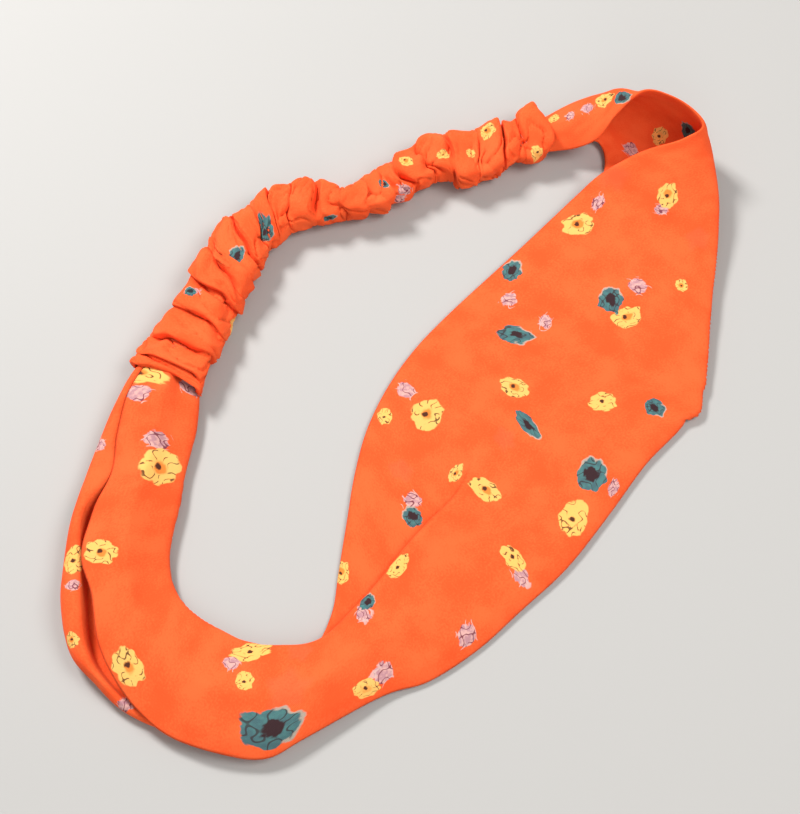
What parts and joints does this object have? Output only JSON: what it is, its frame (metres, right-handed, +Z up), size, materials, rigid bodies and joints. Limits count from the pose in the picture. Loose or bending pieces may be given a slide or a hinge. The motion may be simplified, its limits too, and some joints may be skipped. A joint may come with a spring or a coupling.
{
  "type": "elastic-back headband",
  "caption": "Soft fabric headband: a wide band of printed double cloth that folds and narrows into a gathered elastic back, lying flat with its loop open.",
  "frame": {"origin": "middle of the headband's box on the surface that it lies on", "axes": "+Z up from that surface; +X towards the wide panel's fold, away from the narrow arm; +Y towards the gathered back's far end and the hood"},
  "size_m": [0.186, 0.197, 0.022],
  "materials": {
    "printed_cloth": "matt fine crepe weave with a small printed blossom pattern",
    "knitted_elastic": "matt knitted elastic",
    "sewing_thread": "matt spun thread"
  },
  "bodies": {
    "wide_panel": {"front_band_wide": "printed_cloth", "front_band_neck": "printed_cloth", "front_band_right_end": "printed_cloth", "band_seam_stitching": "sewing_thread", "elastic_casing": "printed_cloth", "elastic_strip": "knitted_elastic", "casing_seam_stitching": "sewing_thread", "right_join_stitching": "sewing_thread", "right_elastic_tack": "sewing_thread"},
    "left_arm": {"front_band_left_end": "printed_cloth", "left_join_stitching": "sewing_thread", "left_elastic_tack": "sewing_thread"}
  },
  "joints": [
    {"name": "loop_spread", "type": "hinge", "parent": "wide_panel", "child": "left_arm", "pos_m": [-0.0338, -0.082, 0], "axis": [0, 0, 1], "range_deg": [0, 30], "stiffness_Nm_per_rad": 0.25, "deforming": ["elastic_casing", "elastic_strip", "casing_seam_stitching", "front_band_neck"]}
  ]
}
